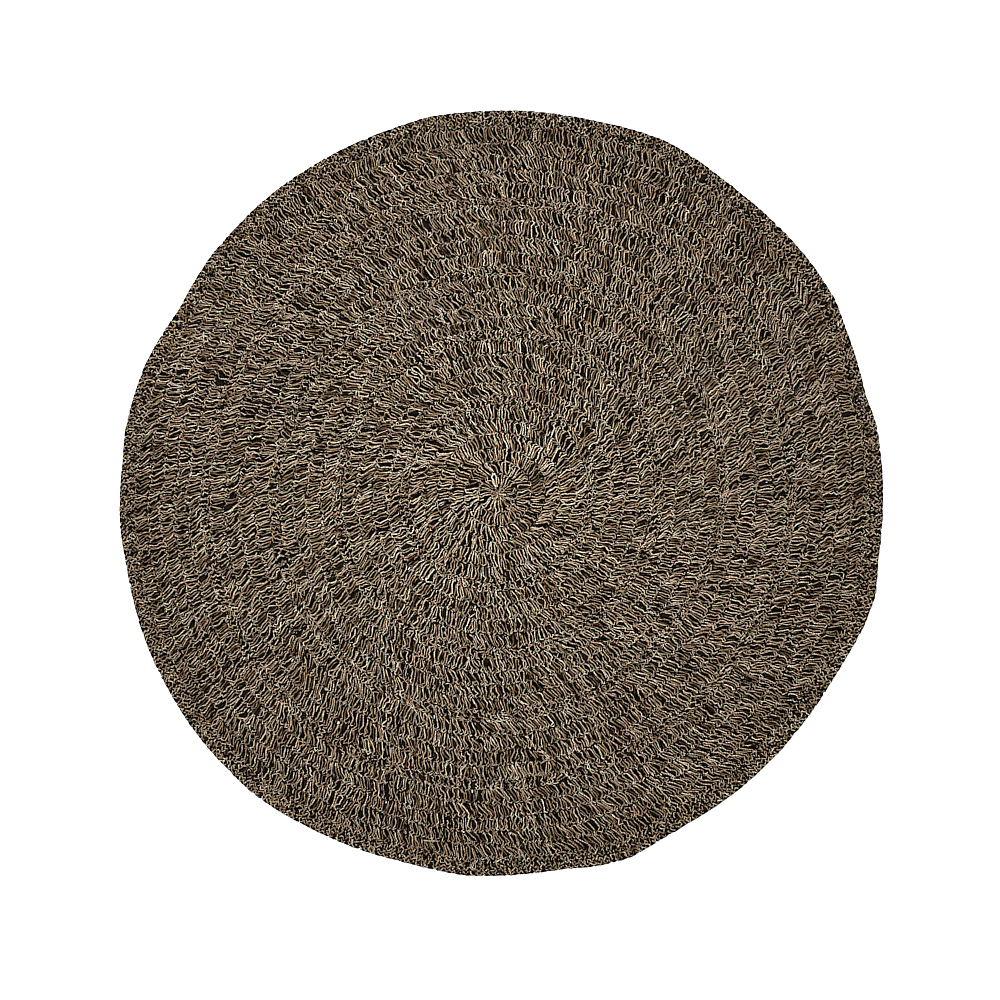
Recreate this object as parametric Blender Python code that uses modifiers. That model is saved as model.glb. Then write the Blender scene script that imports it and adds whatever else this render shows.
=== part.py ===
"""A round seagrass rug, crocheted from the middle out in one piece.

The rug is one flat solid in metres with +Z up. Its underside lies on z = 0 and the
middle of its box is on the Z axis. Each crocheted round stands up as a low rib, the
shape is a little oval with an uneven rim, and the widest slits between the stitches
go right through.
"""
import math

import bmesh
import bpy
from mathutils import Matrix, Vector

# Driving dimensions, in metres
RUG_DIAMETER = 2.000
GROOVE_DROP = 0.0026
EDGE_DROP = 0.0020
SEGMENTS = 72
UNDERSIDE_RINGS = 6

# Bands of crocheted rounds from the middle out:
# name of the band, rounds in it, width of one round, height of its crest
ROUND_BANDS = (
    ("centre rounds", 6, 0.0365, 0.0100),
    ("first low round", 1, 0.0235, 0.0088),
    ("second band", 4, 0.0377, 0.0100),
    ("second low round", 1, 0.0235, 0.0088),
    ("third band", 4, 0.0356, 0.0100),
    ("third low round", 1, 0.0235, 0.0088),
    ("fourth band", 4, 0.0389, 0.0100),
    ("fourth low round", 1, 0.0235, 0.0088),
    ("fifth band", 5, 0.0363, 0.0100),
    ("edging rounds", 2, 0.0281, 0.0094),
)

# The rounds are oval by this share of their radius, longest at this angle in degrees
OVAL_SHARE = 0.018
OVAL_ANGLE = 41.0

# The rim bulges and dips where the tension changed and where the last round ends:
# angle in degrees, counter-clockwise from +X, and how far the rim is moved outward
RIM_REACH = (
    (0, 0.004),
    (9, -0.002),
    (16, -0.017),
    (24, -0.010),
    (30, 0.000),
    (52, -0.007),
    (65, 0.009),
    (76, 0.001),
    (92, 0.005),
    (100, 0.011),
    (108, 0.005),
    (124, 0.002),
    (140, -0.007),
    (150, -0.022),
    (160, -0.007),
    (170, -0.006),
    (176, -0.014),
    (184, -0.012),
    (191, -0.018),
    (207, -0.013),
    (224, -0.008),
    (231, -0.003),
    (240, -0.010),
    (255, -0.012),
    (266, 0.002),
    (278, 0.003),
    (289, 0.027),
    (298, 0.012),
    (310, 0.016),
    (330, 0.015),
    (344, 0.030),
    (352, 0.010),
)
RIM_REACH_STARTS = 0.62

# Slits that stay open between stitches, evenly spaced along a round:
# round counted from the middle, angle of the first in degrees, slits, degrees between
OPEN_SLITS = (
    (5, 204, 1, 0),
    (8, 107, 2, 106),
    (9, 134, 3, 43),
    (10, 176, 2, 46),
    (11, 114, 4, 42),
    (13, 112, 2, 93),
    (14, 190, 3, 26),
    (15, 164, 3, 31),
    (16, 115, 4, 43),
    (18, 122, 4, 44),
    (19, 62, 5, 41),
    (20, 190, 3, 29),
    (21, 179, 5, 14),
    (23, 161, 5, 26),
    (24, 174, 6, 13),
    (25, 134, 5, 29),
    (26, 162, 3, 55),
)
SLIT_LENGTH = 0.017
SLIT_WIDTH = 0.0044
SLIT_LEAN = 18.0
SLIT_CUT_HEIGHT = 0.030

# Seagrass of two shades, seen from a step away
TWINE_COLOUR = (0.127, 0.098, 0.069, 1.0)
TWINE_ROUGHNESS = 0.85
SHARP_EDGE_ANGLE = 40.0


def clear_scene():
    """Remove every object, so that the rug is alone."""
    for thing in list(bpy.data.objects):
        bpy.data.objects.remove(thing, do_unlink=True)


def new_collection(name):
    """Add an empty collection to the scene."""
    collection = bpy.data.collections.new(name)
    bpy.context.scene.collection.children.link(collection)
    return collection


def twine_material():
    """Give the rug its own plain material."""
    material = bpy.data.materials.new("seagrass twine")
    material.use_nodes = True
    shader = material.node_tree.nodes["Principled BSDF"]
    shader.inputs["Base Color"].default_value = TWINE_COLOUR
    shader.inputs["Roughness"].default_value = TWINE_ROUGHNESS
    shader.inputs["Metallic"].default_value = 0.0
    return material


def rounds():
    """List each round as its inner radius, outer radius and crest height."""
    listed = []
    reached = 0.0
    for _, count, width, crest in ROUND_BANDS:
        for _ in range(count):
            listed.append((reached, reached + width, crest))
            reached += width
    scale = RUG_DIAMETER / 2 / reached
    return [(inner * scale, outer * scale, crest) for inner, outer, crest in listed]


def rug_section():
    """Work out the turned section, from the middle of the top to the middle below."""
    all_rounds = rounds()
    first_crest = all_rounds[0][2]
    points = [Vector((0.0, 0.0, first_crest - GROOVE_DROP / 2))]
    for inner, outer, crest in all_rounds[:-1]:
        points.append(Vector(((inner + outer) / 2, 0.0, crest)))
        points.append(Vector((outer, 0.0, crest - GROOVE_DROP)))
    inner, outer, crest = all_rounds[-1]
    points.append(Vector(((inner + outer) / 2, 0.0, crest)))
    points.append(Vector((outer - EDGE_DROP, 0.0, crest - EDGE_DROP)))
    points.append(Vector((outer, 0.0, crest / 2)))
    foot = outer - EDGE_DROP
    for ring in range(UNDERSIDE_RINGS):
        points.append(Vector((foot * (1 - ring / UNDERSIDE_RINGS), 0.0, 0.0)))
    points.append(Vector((0.0, 0.0, 0.0)))
    return points


def rim_reach(angle):
    """Read how far the rim is moved outward at an angle in degrees."""
    angle %= 360
    rows = RIM_REACH + ((RIM_REACH[0][0] + 360, RIM_REACH[0][1]),)
    for (start, reach), (end, next_reach) in zip(rows, rows[1:]):
        if start <= angle <= end:
            share = (angle - start) / (end - start)
            blend = (1 - math.cos(math.pi * share)) / 2
            return reach + (next_reach - reach) * blend
    return 0.0


def placed_radius(radius, angle):
    """Turn a round's plain radius into the uneven one at an angle in degrees."""
    oval = 1 + OVAL_SHARE * math.cos(math.radians(2 * (angle - OVAL_ANGLE)))
    full = RUG_DIAMETER / 2
    share = max(0.0, radius / full - RIM_REACH_STARTS) / (1 - RIM_REACH_STARTS)
    return radius * oval + rim_reach(angle) * share ** 2


def placed(radius, angle, height):
    """Give the point of the uneven rug at a plain radius and an angle in degrees."""
    reach = placed_radius(radius, angle)
    turn = math.radians(angle)
    return Vector((reach * math.cos(turn), reach * math.sin(turn), height))


def box_middle():
    """Find the middle of the uneven rim's box, which goes on the Z axis."""
    steps = range(SEGMENTS)
    rim = [placed(RUG_DIAMETER / 2, step * 360 / SEGMENTS, 0.0) for step in steps]
    middle_x = (min(point.x for point in rim) + max(point.x for point in rim)) / 2
    middle_y = (min(point.y for point in rim) + max(point.y for point in rim)) / 2
    return Vector((middle_x, middle_y, 0.0))


def turned_disc(collection):
    """Turn the section into a round disc with a Screw modifier."""
    points = rug_section()
    mesh = bpy.data.meshes.new("rug section")
    edges = [(index, index + 1) for index in range(len(points) - 1)]
    mesh.from_pydata(points, edges, [])
    disc = bpy.data.objects.new("disc", mesh)
    collection.objects.link(disc)
    screw = disc.modifiers.new("turned", "SCREW")
    screw.axis = "Z"
    screw.angle = math.tau
    screw.steps = SEGMENTS
    screw.render_steps = SEGMENTS
    screw.use_merge_vertices = True
    screw.merge_threshold = 0.0001
    return disc


def uneven_rug(collection):
    """Make the disc a mesh and move its points to the uneven rounds and rim."""
    disc = turned_disc(collection)
    bpy.context.view_layer.update()
    evaluated = disc.evaluated_get(bpy.context.evaluated_depsgraph_get())
    mesh = bpy.data.meshes.new_from_object(evaluated)
    bpy.data.objects.remove(disc, do_unlink=True)
    mesh.name = "rug"
    middle = box_middle()
    for vertex in mesh.vertices:
        plain = math.hypot(vertex.co.x, vertex.co.y)
        angle = math.degrees(math.atan2(vertex.co.y, vertex.co.x))
        vertex.co = placed(plain, angle, vertex.co.z) - middle
    rug = bpy.data.objects.new("rug", mesh)
    collection.objects.link(rug)
    return rug


def slit_cutter(collection):
    """Make one mesh of all the slanted slits that go through the rug."""
    all_rounds = rounds()
    middle = box_middle()
    shape = bmesh.new()
    for number, first, count, step in OPEN_SLITS:
        inner, outer, _ = all_rounds[number - 1]
        for index in range(count):
            angle = first + step * index
            place = placed((inner + outer) / 2, angle, 0.0) - middle
            turn = Matrix.Rotation(math.radians(angle + SLIT_LEAN), 4, "Z")
            size = Matrix.Diagonal((SLIT_LENGTH, SLIT_WIDTH, SLIT_CUT_HEIGHT, 1.0))
            bmesh.ops.create_cube(shape, size=1.0, matrix=Matrix.Translation(place) @ turn @ size)
    mesh = bpy.data.meshes.new("slits")
    shape.to_mesh(mesh)
    shape.free()
    cutter = bpy.data.objects.new("slits", mesh)
    cutter.hide_render = True
    cutter.display_type = "WIRE"
    collection.objects.link(cutter)
    return cutter


def build():
    """Build the rug and cut its open slits."""
    clear_scene()
    rug_parts = new_collection("seagrass_rug")
    cutters = new_collection("cutters")
    rug = uneven_rug(rug_parts)
    rug.data.materials.clear()
    rug.data.materials.append(twine_material())
    rug.data.shade_smooth()
    rug.data.set_sharp_from_angle(angle=math.radians(SHARP_EDGE_ANGLE))
    cut = rug.modifiers.new("open slits", "BOOLEAN")
    cut.operation = "DIFFERENCE"
    cut.solver = "EXACT"
    cut.object = slit_cutter(cutters)


build()
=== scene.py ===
"""Looks of the round crocheted seagrass rug: its two twines stitch by stitch, and the studio.

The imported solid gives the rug's outline, thickness, middle and open slits. Everything
here is in metres, in the solid's own frame, with the floor at z = 0.
"""
import logging
import math
from dataclasses import dataclass, field
from enum import Enum
from typing import ClassVar, NamedTuple

import bpy
import numpy as np
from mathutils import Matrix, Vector
from mathutils.geometry import delaunay_2d_cdt


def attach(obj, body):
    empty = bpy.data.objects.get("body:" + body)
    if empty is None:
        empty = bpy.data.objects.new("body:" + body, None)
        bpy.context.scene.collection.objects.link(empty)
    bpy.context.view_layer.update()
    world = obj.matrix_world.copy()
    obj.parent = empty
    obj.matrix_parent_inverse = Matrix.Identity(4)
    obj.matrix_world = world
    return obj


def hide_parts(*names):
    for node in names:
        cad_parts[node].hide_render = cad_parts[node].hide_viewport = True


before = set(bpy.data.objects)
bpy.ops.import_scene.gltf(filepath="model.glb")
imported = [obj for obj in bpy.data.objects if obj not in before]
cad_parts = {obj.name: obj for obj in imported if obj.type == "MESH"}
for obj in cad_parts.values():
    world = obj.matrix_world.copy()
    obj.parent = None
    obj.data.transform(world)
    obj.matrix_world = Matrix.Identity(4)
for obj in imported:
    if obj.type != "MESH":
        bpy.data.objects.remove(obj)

log = logging.getLogger("seagrass rug")

RUG_NODE = "rug"
RUG_BODY = "root"

# Photograph: pixels along a side, and the pixel that the rug's middle lies on
PHOTO_SIDE = 1000
RUG_MIDDLE_PIXEL = (501.5, 493.1)
METRES_PER_PIXEL = 0.002616

# Steps in a metre that places are rounded to, where equal ones are looked for
HUB_STEPS = 1e4
SLIT_STEPS = 1e5

# In degrees, from the spoke to the direction along the round
QUARTER_TURN = 90

# Multiplied with a place, this takes its height away
LEVEL = (1.0, 1.0, 0.0)
WHITE = (1.0, 1.0, 1.0, 1.0)

Pair = tuple[float, float]
Colour = tuple[float, float, float]
Socket = bpy.types.NodeSocket
Sockets = bpy.types.bpy_prop_collection
Feed = Socket | float | tuple


def add_object(name: str, data: bpy.types.ID) -> bpy.types.Object:
    """Add an object to the scene.

    Args:
        name: name of the object.
        data: its mesh, light or camera.

    Returns:
        The object.
    """
    thing = bpy.data.objects.new(name, data)
    bpy.context.scene.collection.objects.link(thing)
    return thing


def vertex_places(mesh: bpy.types.Mesh) -> np.ndarray:
    """Read the places of a mesh's vertices.

    Args:
        mesh: the mesh.

    Returns:
        A row for each vertex.
    """
    places = np.empty(len(mesh.vertices) * 3, np.float32)
    mesh.vertices.foreach_get("co", places)
    return places.reshape(-1, 3).astype(float)


class RoundKind(Enum):
    """How a round of the rug is worked."""

    CENTRE = "centre"
    TALL = "tall"
    LOW = "low"
    EDGE = "edge"
    RIM = "rim"


class Shade(Enum):
    """The two twines that are held together."""

    NATURAL = "natural"
    BLACK = "black"


class Waypoint(NamedTuple):
    """A place on a twine's way through one stitch.

    Attributes:
        lean: share of the stitch's lean that it is moved along the round.
        along: further move along the round, in stitches.
        across: share of the round's width, from its inner side.
        height: share of the rug's thickness.
        tone_and_shade: how much lighter the twine is there, with painted shade where it lies low or mid-round
            and painted light at the round's edges.
        elbow: share of the stitch's elbow that it is moved along the round.
    """

    lean: float
    along: float
    across: float
    height: float
    tone_and_shade: float = 0.0
    elbow: float = 0.0


# A twine's way through one stitch, from where it comes up at the inner side
# In the fifth column, painted shade darkens the legs and dips that lie low and the middles of the rounds, and
# painted light brightens the stitches at the rounds' edges.
STITCH_WAYS: dict[tuple[RoundKind, Shade], tuple[Waypoint, ...]] = {
    (RoundKind.CENTRE, Shade.NATURAL): (
        Waypoint(0.00, 0.00, 0.04, 0.66, 0.2),
        Waypoint(0.36, 0.00, 0.28, 0.76),
        Waypoint(0.72, -0.04, 0.52, 0.77, -0.3),
        Waypoint(1.00, 0.04, 0.74, 0.77),
        Waypoint(1.00, -0.12, 0.94, 0.77, 0.2),
        Waypoint(1.00, 0.24, 0.98, 0.68, -0.5),
        Waypoint(1.00, 0.50, 0.84, 0.64, -0.4),
        Waypoint(0.66, 0.48, 0.50, 0.64, -0.4),
        Waypoint(0.20, 0.52, 0.16, 0.62, -0.4),
        Waypoint(0.02, 0.80, 0.00, 0.40, -0.8),
    ),
    (RoundKind.CENTRE, Shade.BLACK): (
        Waypoint(0.00, 0.26, 0.06, 0.64),
        Waypoint(0.60, 0.26, 0.42, 0.71),
        Waypoint(1.00, 0.24, 0.76, 0.72),
        Waypoint(1.00, 0.42, 0.96, 0.76),
        Waypoint(1.00, 0.72, 0.80, 0.70),
        Waypoint(0.55, 0.74, 0.42, 0.69),
        Waypoint(0.10, 0.74, 0.10, 0.64),
    ),
    (RoundKind.TALL, Shade.NATURAL): (
        Waypoint(0.00, 0.00, 0.04, 0.64, 0.5),
        Waypoint(0.36, 0.00, 0.26, 0.75),
        Waypoint(0.72, 0.00, 0.48, 0.77, -0.5),
        Waypoint(1.00, 0.00, 0.68, 0.76, -0.2),
        Waypoint(1.00, -0.28, 0.84, 0.77, 0.3),
        Waypoint(1.00, 0.08, 0.98, 0.76, 0.1),
        Waypoint(1.00, 0.36, 0.80, 0.74, 0.1),
        Waypoint(1.00, 0.60, 0.96, 0.68),
        Waypoint(1.00, 0.50, 0.72, 0.60, -0.9),
        Waypoint(0.60, 0.50, 0.44, 0.58, -1.1),
        Waypoint(0.16, 0.52, 0.14, 0.56, -0.9),
        Waypoint(0.02, 0.80, 0.00, 0.36, -0.8),
    ),
    (RoundKind.TALL, Shade.BLACK): (
        Waypoint(0.00, 0.26, 0.06, 0.64),
        Waypoint(0.60, 0.26, 0.42, 0.70),
        Waypoint(1.00, 0.22, 0.72, 0.70),
        Waypoint(1.00, 0.46, 0.90, 0.76),
        Waypoint(1.00, 0.20, 1.06, 0.68),
        Waypoint(1.00, 0.72, 0.76, 0.68),
        Waypoint(0.55, 0.74, 0.42, 0.68),
        Waypoint(0.10, 0.74, 0.10, 0.64),
    ),
    (RoundKind.LOW, Shade.NATURAL): (
        Waypoint(0.00, 0.00, 0.04, 0.64),
        Waypoint(0.50, 0.14, 0.26, 0.75),
        Waypoint(0.70, -0.22, 0.46, 0.77),
        Waypoint(1.00, 0.14, 0.64, 0.76),
        Waypoint(1.00, -0.20, 0.82, 0.77),
        Waypoint(1.00, 0.20, 0.98, 0.75),
        Waypoint(1.00, 0.58, 0.86, 0.70),
        Waypoint(0.60, 0.46, 0.50, 0.54, -0.6),
        Waypoint(0.10, 0.62, 0.10, 0.50, -0.6),
    ),
    (RoundKind.LOW, Shade.BLACK): (
        Waypoint(0.00, 0.27, 0.06, 0.64),
        Waypoint(0.60, 0.40, 0.42, 0.74),
        Waypoint(1.00, 0.30, 0.76, 0.70),
        Waypoint(1.00, 0.24, 1.02, 0.66, elbow=1.0),
        Waypoint(0.80, 0.70, 0.70, 0.66, elbow=0.5),
        Waypoint(0.20, 0.72, 0.20, 0.60),
    ),
    (RoundKind.EDGE, Shade.NATURAL): (
        Waypoint(0.0, 0.00, 0.02, 0.62),
        Waypoint(0.0, 0.42, 0.38, 0.76),
        Waypoint(0.0, 0.24, 0.48, 0.44, -2.0),
        Waypoint(0.0, 0.08, 0.56, 0.74),
        Waypoint(0.0, 0.46, 0.94, 0.76),
        Waypoint(0.0, 0.60, 0.98, 0.68),
        Waypoint(0.0, 0.94, 0.60, 0.68),
        Waypoint(0.0, 0.74, 0.50, 0.40, -2.0),
        Waypoint(0.0, 0.56, 0.40, 0.66),
        Waypoint(0.0, 0.94, 0.05, 0.68),
    ),
    (RoundKind.EDGE, Shade.BLACK): (
        Waypoint(0.0, 0.48, 0.06, 0.68),
        Waypoint(0.0, 0.30, 0.28, 0.77),
        Waypoint(0.0, 0.55, 0.52, 0.79),
        Waypoint(0.0, 0.30, 0.78, 0.76),
        Waypoint(0.0, 0.50, 0.98, 0.68),
        Waypoint(0.0, 1.00, 0.78, 0.77),
        Waypoint(0.0, 1.00, 0.28, 0.75),
    ),
    (RoundKind.RIM, Shade.NATURAL): (
        Waypoint(0.0, 0.00, 0.02, 0.62),
        Waypoint(0.0, 0.42, 0.36, 0.76),
        Waypoint(0.0, 0.24, 0.44, 0.44, -2.0),
        Waypoint(0.0, 0.08, 0.50, 0.74),
        Waypoint(0.0, 0.44, 0.85, 0.68),
        Waypoint(0.0, 0.60, 0.87, 0.62),
        Waypoint(0.0, 0.94, 0.52, 0.68),
        Waypoint(0.0, 0.74, 0.45, 0.40, -2.0),
        Waypoint(0.0, 0.56, 0.36, 0.66),
        Waypoint(0.0, 0.94, 0.05, 0.66),
    ),
    (RoundKind.RIM, Shade.BLACK): (
        Waypoint(0.0, 0.48, 0.06, 0.66),
        Waypoint(0.0, 0.30, 0.28, 0.77),
        Waypoint(0.0, 0.55, 0.48, 0.79),
        Waypoint(0.0, 0.95, 0.72, 0.76),
        Waypoint(0.0, 0.60, 0.93, 0.58),
        Waypoint(0.0, 1.10, 0.95, 0.54),
        Waypoint(0.0, 1.60, 0.92, 0.44),
    ),
}


class Gauge(NamedTuple):
    """How a kind of round is worked.

    Attributes:
        width: width of a stitch along the round.
        lean: how far its top is along from its foot, in stitches.
        elbow: how far the next round's foot is along from its top, in stitches.
        slack: how much its height varies, as a share of the work's tightness.
    """

    width: float
    lean: float
    elbow: float
    slack: float


GAUGES = {
    RoundKind.CENTRE: Gauge(0.0141, 0.80, -0.40, 1.0),
    RoundKind.TALL: Gauge(0.0141, 0.80, -0.40, 1.0),
    RoundKind.LOW: Gauge(0.0141, 0.60, -0.35, 0.8),
    RoundKind.EDGE: Gauge(0.0141, 0.0, 0.0, 0.4),
    RoundKind.RIM: Gauge(0.0143, 0.0, 0.0, 0.05),
}


@dataclass(frozen=True)
class Band:
    """Rounds of one kind and width that follow each other."""

    kind: RoundKind
    rounds: int
    width: float


# From the middle out: starting ring, bands with low rounds between them, and the edging
BANDS = (
    Band(RoundKind.CENTRE, 1, 0.0180),
    Band(RoundKind.CENTRE, 1, 0.0335),
    Band(RoundKind.CENTRE, 5, 0.0365),
    Band(RoundKind.LOW, 1, 0.0235),
    Band(RoundKind.TALL, 4, 0.0377),
    Band(RoundKind.LOW, 1, 0.0235),
    Band(RoundKind.TALL, 4, 0.0356),
    Band(RoundKind.LOW, 1, 0.0235),
    Band(RoundKind.TALL, 4, 0.0389),
    Band(RoundKind.LOW, 1, 0.0235),
    Band(RoundKind.TALL, 5, 0.0363),
    Band(RoundKind.EDGE, 1, 0.0206),
    Band(RoundKind.RIM, 1, 0.0206),
)


@dataclass(frozen=True)
class CrochetRound:
    """One round: its number from the middle, kind, plain radii and stitches."""

    number: int
    kind: RoundKind
    inner: float
    outer: float
    stitches: int


@dataclass
class RugPlan:
    """Where the rounds lie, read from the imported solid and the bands' widths.

    Attributes:
        oval_share: how oval the rounds are, as a share of their radius.
        oval_angle: angle of their longest direction, in degrees.
        reach_starts: share of the radius past which rounds follow the uneven rim.
        spokes: angles at which the solid's rim has a point.
        starting_stitches: stitches of the starting ring.
        middle: x and y of the rounds' middle.
        rim: how far the solid's rim reaches at each spoke.
        thickness: height of the solid's top.
        radius: plain radius of the last round.
    """

    oval_share: float = 0.018
    oval_angle: float = 41.0
    reach_starts: float = 0.62
    spokes: int = 72
    starting_stitches: int = 8
    middle: np.ndarray = field(init=False)
    rim: np.ndarray = field(init=False)
    thickness: float = field(init=False)
    radius: float = field(init=False)

    def __post_init__(self) -> None:
        """Read the solid's middle, rim and thickness."""
        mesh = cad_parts[RUG_NODE].data
        places = vertex_places(mesh)
        corners = np.empty(len(mesh.loops), np.int32)
        mesh.loops.foreach_get("vertex_index", corners)
        self.middle = self._hub(places[corners])
        offset = places[:, :2] - self.middle
        reach = np.hypot(offset[:, 0], offset[:, 1])
        turn = np.arctan2(offset[:, 1], offset[:, 0])
        spoke = np.rint(turn / math.tau * self.spokes).astype(int) % self.spokes
        self.rim = np.zeros(self.spokes)
        np.maximum.at(self.rim, spoke, reach)
        self.thickness = float(places[:, 2].max())
        self.radius = sum(band.rounds * band.width for band in BANDS)

    @staticmethod
    def _hub(corners: np.ndarray) -> np.ndarray:
        """Find the point where most triangles meet, which is the rounds' middle.

        Args:
            corners: place of each triangle's corner.

        Returns:
            The hub's x and y.
        """
        steps = np.rint(corners * HUB_STEPS).astype(int)
        places, counts = np.unique(steps, axis=0, return_counts=True)
        return places[counts.argmax(), :2] / HUB_STEPS

    def rounds(self) -> list[CrochetRound]:
        """List the rounds from the middle out.

        Returns:
            The rounds.
        """
        listed: list[CrochetRound] = []
        inner = 0.0
        for band in BANDS:
            for _ in range(band.rounds):
                outer = inner + band.width
                fewest = self.starting_stitches * (2 if inner else 1)
                stitches = max(fewest, round(math.pi * (inner + outer) / GAUGES[band.kind].width))
                listed.append(CrochetRound(len(listed), band.kind, inner, outer, stitches))
                inner = outer
        return listed

    def reach(self, turn: np.ndarray) -> np.ndarray:
        """Read how far the rim reaches at each angle."""
        spoke = np.arange(self.spokes + 1) / self.spokes * math.tau
        return np.interp(turn % math.tau, spoke, np.append(self.rim, self.rim[0]))

    def place(self, radius: np.ndarray, turn: np.ndarray, height: np.ndarray) -> np.ndarray:
        """Lay plain polar places onto the uneven rug.

        Args:
            radius: plain radius of each point.
            turn: its angle, in radians.
            height: its height over the floor.

        Returns:
            The points, in the solid's frame.
        """
        oval = 1 + self.oval_share * np.cos(2 * (turn - math.radians(self.oval_angle)))
        share = np.clip(radius / self.radius - self.reach_starts, 0, None) / (1 - self.reach_starts)
        reach = radius * oval + (self.reach(turn) - self.radius * oval) * share**2
        x = self.middle[0] + reach * np.cos(turn)
        y = self.middle[1] + reach * np.sin(turn)
        return np.stack([x, y, height], -1)


@dataclass(frozen=True)
class Gap:
    """An opening between stitches.

    Attributes:
        SHAPE: corners of its outline, in half lengths and half widths.
        END_CLEAR: how far past its ends it keeps clear.
        FADES_OVER: distance past that over which it stops parting the twines.
        REACH: how far to its sides it moves them.
        PRESSED: share of their distance that they keep where they are pressed aside.
        place: its middle, x and y.
        heading: unit vector along it.
        half_length: half its length.
        half_width: half its width.
    """

    SHAPE: ClassVar[tuple[Pair, ...]] = (
        (1.0, 0.0),
        (0.6, 1.0),
        (-0.6, 1.0),
        (-1.0, 0.0),
        (-0.6, -1.0),
        (0.6, -1.0),
    )
    END_CLEAR: ClassVar[float] = 0.002
    FADES_OVER: ClassVar[float] = 0.016
    REACH: ClassVar[float] = 0.03
    PRESSED: ClassVar[float] = 0.2

    place: np.ndarray
    heading: np.ndarray
    half_length: float
    half_width: float

    @property
    def aside(self) -> np.ndarray:
        """Unit vector across the gap."""
        return np.array((-self.heading[1], self.heading[0]))

    def parted(self, points: np.ndarray, legs: np.ndarray) -> np.ndarray:
        """Move a twine's points to the gap's sides, each leg of a stitch to one side.

        Args:
            points: the twine's points, by stitch and waypoint, with x and y first.
            legs: which leg of the stitch each waypoint is of.

        Returns:
            The points, the gap free of them.
        """
        offset = points[..., :2] - self.place
        along = offset @ self.heading
        across = offset @ self.aside
        beyond = np.clip(np.abs(along) - self.half_length - self.END_CLEAR, 0, None)
        beyond = beyond / self.FADES_OVER
        near = (beyond < 1) & (np.abs(across) < self.REACH)
        if not near.any():
            return points
        free = np.clip(1 - beyond**2, 0, 1) * self.half_width
        side = np.empty_like(across)
        for leg in np.unique(legs):
            own = legs == leg
            weight = np.exp(-((along[:, own] / self.half_length) ** 2))
            lies = (weight * across[:, own]).sum(1, keepdims=True)
            side[:, own] = np.where(lies < 0, -1.0, 1.0)
        pressed = free + self.PRESSED * np.abs(across)
        kept = np.where(side * across > 0, np.hypot(across, free), pressed)
        parted = points.copy()
        parted[near, :2] += (side * kept - across)[near][:, None] * self.aside
        return parted

    def outline(self, share: float) -> np.ndarray:
        """List the corners of an opening in the gap, counterclockwise.

        Args:
            share: how much of the gap's length and width it has.

        Returns:
            The corners.
        """
        shape = np.array(self.SHAPE) * share
        along = shape[:, :1] * self.half_length * self.heading
        return self.place + along + shape[:, 1:] * self.half_width * self.aside


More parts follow.
